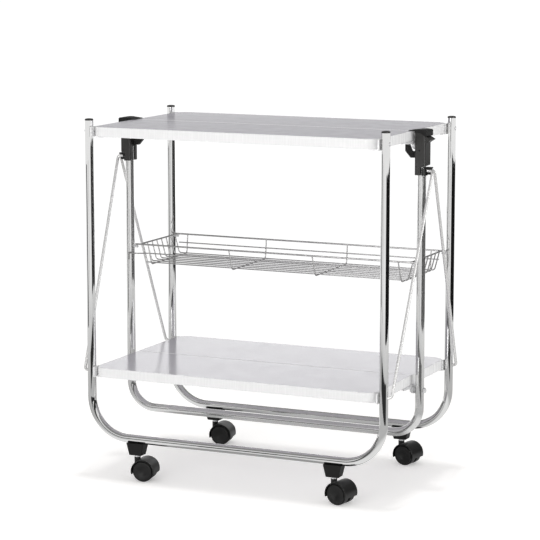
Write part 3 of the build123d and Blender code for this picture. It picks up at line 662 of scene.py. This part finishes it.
class TROLLEY_OT_fittings(bpy.types.Operator):
    """Make the moulded fittings: sockets, catch housings, their caps, release levers and sliders"""

    bl_idname = "trolley.fittings"
    bl_label = "Moulded fittings"

    def execute(self, context):
        width = context.scene.trolley_edges.moulding
        for side in SIDES:
            refine(f"catch_housing_{side}", width)
            self.black(f"release_lever_{side}", width)
            self.black(f"slider_{side}", width * 0.7)
        self.black("catch_housing_caps", width)
        for end in ENDS:
            self.black(f"{end}_caster_sockets", width)
        return {"FINISHED"}

    def black(self, node, width):
        """A fitting of the blacker plastic."""
        dress(refine(node, width), SLOTS[node], "socket_plastic")


class TROLLEY_OT_brackets(bpy.types.Operator):
    """Make the pressed steel hinge brackets, pivot plates and pins"""

    bl_idname = "trolley.brackets"
    bl_label = "Brackets and pins"

    def execute(self, context):
        width = context.scene.trolley_edges.pressing
        for level in LEVELS:
            for end in ENDS:
                refine(f"{level}_{end}_hinge_brackets", width, 2, self.taper)
                plates = f"{level}_{end}_pivot_plates"
                # The pivot plates take a near-white, nearly matt finish: painted reflection
                dress(refine(plates, width, 2), SLOTS[plates], "pivot_plate")
        refine("middle_hinge_pins", width, 2)
        refine("hinge_spacers", width, 2)
        return {"FINISHED"}

    def taper(self, shape):
        """The web runs out almost to the flange at its far end."""
        rest, near = 0.0008, 1e-5
        reach = max(abs(vert.co.y) for vert in shape.verts)
        ends = [vert for vert in shape.verts if abs(vert.co.y) > reach - near]
        web, flange = sorted({round(vert.co.z, 5) for vert in ends})[:2]
        for vert in ends:
            if vert.co.z < (web + flange) / 2:
                vert.co.z = flange - rest


class TROLLEY_OT_screws(bpy.types.Operator):
    """Make the pan-head screws with their cross recesses"""

    bl_idname = "trolley.screws"
    bl_label = "Shelf screws"

    # Shares of the head's radius
    recess_middle = 0.28
    recess_reach = 0.62

    def execute(self, context):
        for level in LEVELS:
            for end in ENDS:
                node = f"{level}_{end}_screws"
                screws = [self.screw(low, high, 0.6 * index) for index, (low, high) in enumerate(islands(node))]
                settle(gather(screws), node + ".dressed", SLOTS[node], BODIES[node], (node,))
        return {"FINISHED"}

    def screw(self, low, high, turn):
        """One screw with its head down. The recess is pressed into the head's middle faces."""
        head, face_depth, recess, point = 0.0015, 0.0003, 0.0008, 0.001
        centre, bottom, top = (low + high) / 2, low.z, high.z
        radius = (high.x - low.x) / 2
        profile = [(0.0, bottom), (radius * self.recess_middle, bottom + 0.00003)]
        profile += [(radius * self.recess_reach, bottom + 0.0002), (radius * 0.88, bottom + 0.0006)]
        profile += [(radius, bottom + 0.0011), (radius, bottom + head), (radius / 2, bottom + head)]
        profile += [(radius / 2, top - point), (0.0, top)]
        shape = lathe(profile, 24)
        tips = [
            face for face in shape.faces
            if face.calc_center_median().z < bottom + face_depth and self.in_cross(face.calc_center_median(), radius)
        ]
        pushed = bmesh.ops.extrude_face_region(shape, geom=tips)
        moved = [item for item in pushed["geom"] if isinstance(item, bmesh.types.BMVert)]
        bmesh.ops.translate(shape, vec=(0.0, 0.0, recess), verts=moved)
        bmesh.ops.delete(shape, geom=tips, context="FACES")
        bmesh.ops.recalc_face_normals(shape, faces=shape.faces)
        spun = Matrix.Translation((centre.x, centre.y, 0.0)) @ Matrix.Rotation(turn, 4, "Z")
        bmesh.ops.transform(shape, matrix=spun, verts=shape.verts)
        return shape

    def in_cross(self, point, radius):
        """Whether a face of the head lies in one of the recess's four arms."""
        half_arm = 15.0
        quarter = math.degrees(math.atan2(point.y, point.x)) % 90.0
        out = point.xy.length / radius
        in_arm = quarter < half_arm or quarter > 90.0 - half_arm
        return out < self.recess_reach and (in_arm or out < self.recess_middle)


class TROLLEY_OT_casters(bpy.types.Operator):
    """Make the caster hoods, and the twin wheels with a rounded tread and a face that stands out from it"""

    bl_idname = "trolley.casters"
    bl_label = "Casters"

    def execute(self, context):
        sizes = context.scene.trolley_casters
        for end in ENDS:
            for side in SIDES:
                corner = f"{end}_{side}"
                hood = refine(f"caster_hood_{corner}", sizes.hood_rounding)
                dress(hood, SLOTS[f"caster_hood_{corner}"], "hood_plastic")
                node = f"caster_wheels_{corner}"
                joint = JOINTS[f"wheels_{corner}_roll"]
                shape = place(lathe(self.profile(sizes), 72), Vector(joint["pos_m"]), joint["axis"])
                settle(shape, node + ".dressed", SLOTS[node], BODIES[node], (node,), 50.0)
        return {"FINISHED"}

    def profile(self, sizes):
        """The wheel pair's profile: both wheels and the axle between them."""
        radius, face, web, soft = sizes.radius, sizes.face, sizes.web, sizes.rounding
        shoulder = face - sizes.step
        # The gap beside the web on the inner side, the lip round the outer face, and the shallow hub in its middle
        well, gap, inner = 0.004, 0.001, 0.0008
        lip = 0.0006
        hub, hub_depth = 0.0068, 0.0007
        half = [(sizes.axle, 0.0), (sizes.axle, web), (radius - well, web), (radius - well, web + gap)]
        half += [(radius - 0.0012, web + gap)]
        half += arc((radius - inner, web + gap + inner), inner, -90.0, 0.0, 3)
        half += arc((radius - soft, shoulder - soft), soft, 0.0, 90.0, 5)
        half += [(radius - 0.0019, shoulder - 0.0003), (radius - 0.0021, face - lip)]
        half += arc((radius - 0.0021 - lip, face - lip), lip, 0.0, 90.0, 4)
        half += [(hub, face - 0.0003), (hub - 0.0004, face - hub_depth), (0.0, face - hub_depth)]
        mirrored = [(out, -along) for out, along in reversed(half)]
        return mirrored + half[1:]


class TROLLEY_OT_weld_beads(bpy.types.Operator):
    """Make the resistance-weld beads where the basket's wires cross"""

    bl_idname = "trolley.weld_beads"
    bl_label = "Weld beads"

    def execute(self, context):
        layout = context.scene.trolley_basket
        pressed = 0.0002
        rim_low, rim_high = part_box("basket_rim")
        rim_z = (rim_low.z + rim_high.z) / 2
        wires_low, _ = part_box("basket_wires")
        long_z = wires_low.z + layout.wire * 1.5 - pressed
        steps = layout.long_count - 1
        long_y = [
            layout.long_start + (layout.long_end - layout.long_start) * step / steps
            for step in range(layout.long_count)
        ]
        middle = (layout.cross_count - 1) / 2
        cross_x = [(step - middle) * layout.cross_pitch for step in range(layout.cross_count)]
        # Beads are flat where wires cross, and rounder where they end on the rim
        crossing, ending = (1.25, 1.25, 0.8), (0.95, 1.2, 0.95)
        beads = []
        for x in cross_x:
            for y in long_y:
                lean = layout.cross_lean / 2 * (1.0 - y / layout.long_end)
                spot = (x + lean, y, long_z - layout.wire / 2)
                beads.append(self.bead(spot, layout.wire * 0.62, crossing))
        for x in (-layout.rim_half, layout.rim_half):
            for y in long_y:
                beads.append(self.bead((x, y, rim_z), layout.rim * 0.56, ending))
        settle(gather(beads), "basket_weld_beads", "chrome_wire", "basket")
        return {"FINISHED"}

    def bead(self, spot, radius, stretch):
        """One small swelling of metal."""
        shape = bmesh.new()
        bmesh.ops.create_icosphere(shape, subdivisions=2, radius=radius)
        bmesh.ops.scale(shape, vec=stretch, verts=shape.verts)
        bmesh.ops.translate(shape, vec=spot, verts=shape.verts)
        return shape


class TROLLEY_OT_carried_finishes(bpy.types.Operator):
    """Give every part that keeps its solid the finish of its slot"""

    bl_idname = "trolley.carried_finishes"
    bl_label = "Finish the solid parts"

    def execute(self, context):
        for node, slot in SLOTS.items():
            piece = frame["nodes"][node]
            if not piece.hide_render:
                look = next((look for start, look in LOOKS.items() if node.startswith(start)), None)
                dress(piece, slot, look)
        return {"FINISHED"}


class TROLLEY_OT_stage(bpy.types.Operator):
    """Set up the camera, the floor and the studio light"""

    bl_idname = "trolley.stage"
    bl_label = "Stage"

    def execute(self, context):
        studio = context.scene.trolley_studio
        turn, tilt = studio.azimuth, studio.elevation
        back = Vector((math.sin(turn) * math.cos(tilt), -math.cos(turn) * math.cos(tilt), math.sin(tilt)))
        data = bpy.data.cameras.new("camera")
        data.lens = studio.lens
        data.sensor_width = 36.0
        data.clip_end = 100.0
        camera = bpy.data.objects.new("camera", data)
        camera.location = Vector(studio.target) + back * studio.distance
        camera.rotation_mode = "QUATERNION"
        camera.rotation_quaternion = (-back).to_track_quat("-Z", "Y")
        context.scene.collection.objects.link(camera)
        context.scene.camera = camera

        self.floor()
        self.lamps(turn)
        for name, row in SCREENS.items():
            self.screen(name, turn, *row)
        self.sky(studio)
        context.scene.view_settings.view_transform = "Standard"
        return {"FINISHED"}

    def floor(self):
        """Pale floor: near the trolley it keeps the shadow, and further off it is plain white. In reflections it is a
        glow in rings of painted light and shade.

        The front frame's casters stand on it at every pose, so it goes with that frame.
        """
        reach, fade = 30.0, (0.8, 1.6)
        shape = bmesh.new()
        bmesh.ops.create_grid(shape, x_segments=1, y_segments=1, size=reach)
        finish = Finish(bpy.data.materials.new("pale_floor"))
        camera, mirrored = finish.rays()
        away = finish.node("ShaderNodeVectorMath", {"operation": "LENGTH"}, {0: finish.place()}, 1)
        matt = finish.node("ShaderNodeBsdfDiffuse", {}, {"Color": (0.94, 0.932, 0.918)})
        lifted = finish.node("ShaderNodeAddShader", {}, {0: matt, 1: finish.glow((1.0, 0.99, 0.985), camera * 0.3)})
        far = camera * finish.between(away, *fade, 0.0, 1.0)
        seen = finish.node("ShaderNodeMixShader", {}, {0: far, 1: lifted, 2: finish.glow(WHITE, 1.05)})
        # In reflections the floor is a glow in the rings listed above: painted light and shade round the middle
        stops = [(distance / FLOOR_REACH, tone) for distance, tone in FLOOR_PAINTED_REFLECTION]
        reflection_paint = finish.node("ShaderNodeValToRGB", {"stops": stops}, {"Fac": away / FLOOR_REACH})
        finish.show(finish.node("ShaderNodeMixShader", {}, {0: mirrored, 1: seen, 2: finish.glow(WHITE, reflection_paint)}))
        made = self.stand(shape, "floor", finish)
        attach(made, BODIES["front_frame_tube"])

    def stand(self, shape, name, finish):
        """An object that isn't part of the trolley."""
        mesh = bpy.data.meshes.new(name)
        shape.to_mesh(mesh)
        shape.free()
        mesh.materials.append(finish.owner)
        made = bpy.data.objects.new(name, mesh)
        bpy.context.scene.collection.objects.link(made)
        return made

    def lamps(self, turn):
        """A high lamp drops the shadow straight down, two broad ones stand at the front, and one edges the plastics."""
        plastics = ("moulded_plastic", "socket_plastic", "hood_plastic", "wheel_nylon")
        mirrors = ("polished_chrome", "middle_chrome")
        chrome_spared = self.chosen("chrome_spared", mirrors, "EXCLUDE")
        made = {name: self.lamp(name, turn, *row) for name, row in LAMPS.items()}
        made["above"].light_linking.receiver_collection = chrome_spared
        made["key"].light_linking.receiver_collection = chrome_spared
        dark_spared = self.chosen("chrome_and_plastic_spared", (*mirrors, *plastics), "EXCLUDE")
        made["side"].light_linking.receiver_collection = dark_spared
        made["side"].light_linking.blocker_collection = self.chosen("fittings", plastics, "EXCLUDE")
        made["edge"].light_linking.receiver_collection = self.chosen("plastics", plastics, "INCLUDE")
        made["edge"].visible_diffuse = False

    def lamp(self, name, turn, angle, height, distance, size, power):
        """A soft lamp that faces the trolley."""
        data = bpy.data.lights.new(name, "AREA")
        data.shape = "RECTANGLE"
        data.size, data.size_y = size
        data.energy = power
        lamp = bpy.data.objects.new(name, data)
        around = turn + math.radians(angle)
        lamp.location = (distance * math.sin(around), -distance * math.cos(around), height)
        lamp.rotation_mode = "QUATERNION"
        lamp.rotation_quaternion = (LAMP_AIM - lamp.location).to_track_quat("-Z", "Y")
        bpy.context.scene.collection.objects.link(lamp)
        return lamp

    def chosen(self, name, finishes, state):
        """A group of pieces, by their finish, that a lamp leaves out or keeps to."""
        group = bpy.data.collections.new(name)
        for piece in bpy.context.scene.objects:
            if piece.type == "MESH" and piece.data.materials and piece.data.materials[0].name in finishes:
                group.objects.link(piece)
        for held in group.collection_objects:
            held.light_linking.link_state = state
        return group

    def screen(self, name, turn, start, end, low, high, radius, glow):
        """A curved screen round one side, seen only in reflections, where it paints a reflection as dark or as pale as
        its brightness.
        """
        facet = 6
        shape = bmesh.new()
        around = turn + math.radians(start)
        foot = (radius * math.sin(around), -radius * math.cos(around))
        ends = [shape.verts.new((*foot, height)) for height in (low, high)]
        edge = shape.edges.new(ends)
        steps = max(2, round((end - start) / facet))
        bmesh.ops.spin(
            shape, geom=[*ends, edge], cent=(0, 0, 0), axis=(0, 0, 1), angle=math.radians(end - start), steps=steps
        )
        finish = Finish(bpy.data.materials.new(name))
        finish.show(finish.glow(WHITE, glow))
        made = self.stand(shape, name, finish)
        made.visible_camera = False
        made.visible_diffuse = False
        made.visible_shadow = False
        made.visible_transmission = False

    def sky(self, studio):
        """Even light from all round, behind a white background."""
        world = bpy.data.worlds.new("studio")
        bpy.context.scene.world = world
        finish = Finish(world)
        camera, mirrored = finish.rays()
        light = studio.sky + camera * (1.0 - studio.sky) + mirrored * (studio.mirrored_sky - studio.sky)
        background = finish.tree.nodes["Background"]
        finish.plug(background.inputs["Color"], WHITE)
        finish.plug(background.inputs["Strength"], light)


class TROLLEY_PT_sidebar(bpy.types.Panel):
    """The trolley's pieces, in the order in which they are made"""

    bl_label = "Kitchen trolley"
    bl_idname = "TROLLEY_PT_sidebar"
    bl_space_type = "VIEW_3D"
    bl_region_type = "UI"
    bl_category = "Trolley"

    def draw(self, context):
        for maker in MAKERS:
            self.layout.operator(maker.bl_idname)


MAKERS = (
    TROLLEY_OT_shelves,
    TROLLEY_OT_post_caps,
    TROLLEY_OT_fittings,
    TROLLEY_OT_brackets,
    TROLLEY_OT_screws,
    TROLLEY_OT_casters,
    TROLLEY_OT_weld_beads,
    TROLLEY_OT_carried_finishes,
    TROLLEY_OT_stage,
)
GROUPS = {
    "trolley_finishes": TrolleyFinishes,
    "trolley_edges": TrolleyEdges,
    "trolley_casters": TrolleyCasters,
    "trolley_basket": TrolleyBasket,
    "trolley_studio": TrolleyStudio,
}
CLASSES = (*GROUPS.values(), *MAKERS, TROLLEY_PT_sidebar)


def register():
    for one in CLASSES:
        bpy.utils.register_class(one)
    for name, group in GROUPS.items():
        setattr(bpy.types.Scene, name, bpy.props.PointerProperty(type=group))


def unregister():
    for name in GROUPS:
        delattr(bpy.types.Scene, name)
    for one in reversed(CLASSES):
        bpy.utils.unregister_class(one)


def main():
    register()
    for maker in MAKERS:
        group, name = maker.bl_idname.split(".")
        getattr(getattr(bpy.ops, group), name)()
    bpy.context.view_layer.update()


if __name__ == "__main__":
    main()
